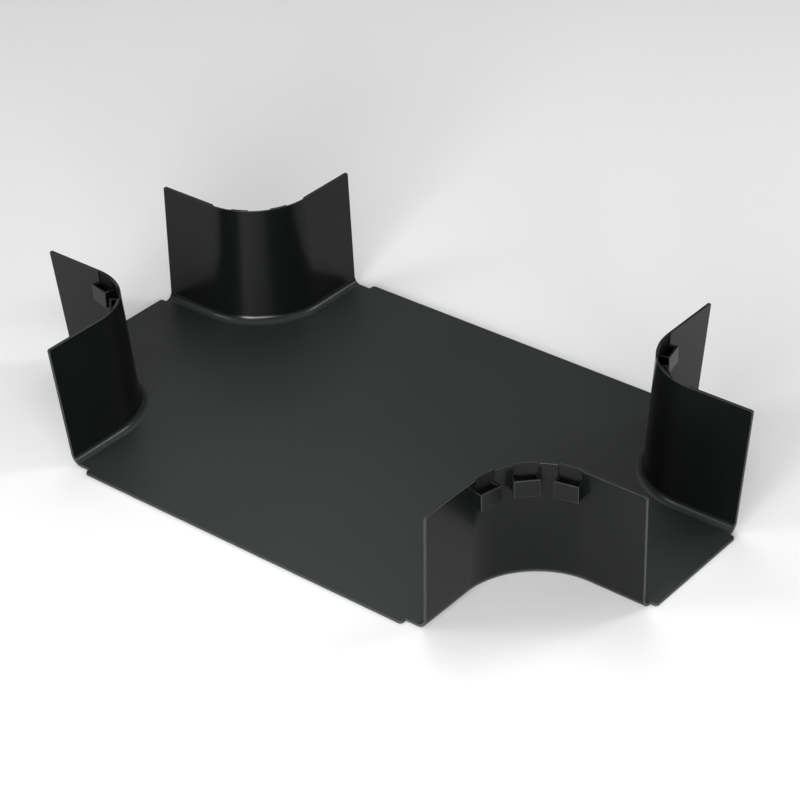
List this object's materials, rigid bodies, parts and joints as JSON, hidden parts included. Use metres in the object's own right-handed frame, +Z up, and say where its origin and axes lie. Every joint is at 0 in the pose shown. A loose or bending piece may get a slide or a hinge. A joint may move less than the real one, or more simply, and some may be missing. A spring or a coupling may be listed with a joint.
{
  "type": "fiber raceway cross fitting",
  "caption": "Open-topped reducing cross fitting for fibre cable raceway: a flat floor, rounded corner walls that limit cable bend, and strap loops for its cover.",
  "frame": {"origin": "centre of the floor's underside, midway between all four openings", "axes": "+X along the narrow channel, +Y along the wide channel, +Z up out of the open top"},
  "size_m": [0.512, 0.31, 0.092],
  "materials": {
    "black_plastic": "satin moulded black"
  },
  "bodies": {
    "root": {"cross_fitting": "black_plastic"}
  },
  "joints": []
}
